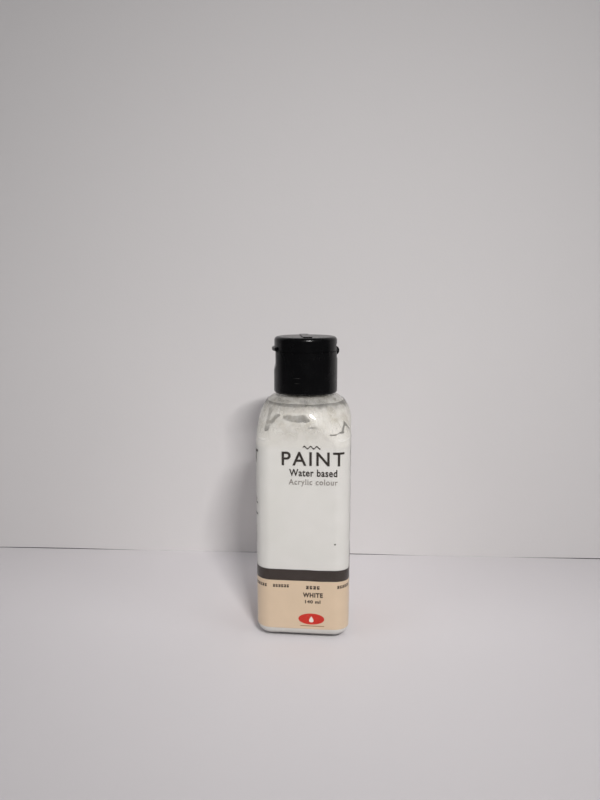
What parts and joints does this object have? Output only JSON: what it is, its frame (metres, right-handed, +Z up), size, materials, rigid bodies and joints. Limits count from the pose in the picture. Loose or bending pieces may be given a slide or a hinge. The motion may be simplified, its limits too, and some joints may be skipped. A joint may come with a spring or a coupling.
{
  "type": "flip-top paint bottle",
  "caption": "Square clear plastic bottle of white acrylic paint with a domed shoulder and a black screw-on flip-top cap.",
  "frame": {"origin": "middle of the base, on the surface the bottle stands on", "axes": "+Z up along the bottle, -Y out of the front face, thumb tab of the lid towards -X"},
  "size_m": [0.0414, 0.0414, 0.1333],
  "materials": {
    "clear_plastic": "clear, gloss",
    "white_paint": "wet paint, satin",
    "clear_film": "clear printed film, gloss",
    "dark_ink": "printed, satin",
    "grey_ink": "printed, satin",
    "beige_ink": "printed, satin",
    "red_ink": "printed, satin",
    "liner_foam": "closed-cell foam, matte",
    "black_plastic": "moulded, semi-gloss"
  },
  "bodies": {
    "bottle": {"bottle_shell": "clear_plastic", "paint_fill": "white_paint", "paint_residue": "white_paint", "shrink_sleeve": "clear_film"},
    "gasket": {"seal_gasket": "liner_foam"},
    "cap": {"cap_body": "black_plastic", "hinge_web_front": "black_plastic", "hinge_web_rear": "black_plastic", "spring_strap": "black_plastic"},
    "lid": {"flip_lid": "black_plastic"}
  },
  "joints": [
    {"name": "cap_lift", "type": "slide", "parent": "bottle", "child": "gasket", "axis": [0, 0, 1], "range_m": [0, 0.00476]},
    {"name": "cap_turn", "type": "hinge", "parent": "gasket", "child": "cap", "pos_m": [0, 0, 0.1155], "axis": [0, 0, 1], "range_deg": [0, 540]},
    {"name": "lid_flip", "type": "hinge", "parent": "cap", "child": "lid", "pos_m": [0.01304, 0.00223, 0.12668], "axis": [-0.1685, 0.9857, 0], "range_deg": [0, 145], "deforming": ["hinge_web_front", "hinge_web_rear", "spring_strap"]}
  ],
  "couplings": [
    {"joint": "cap_lift", "follows": "cap_turn", "m_per_rad": 0.00050531}
  ]
}
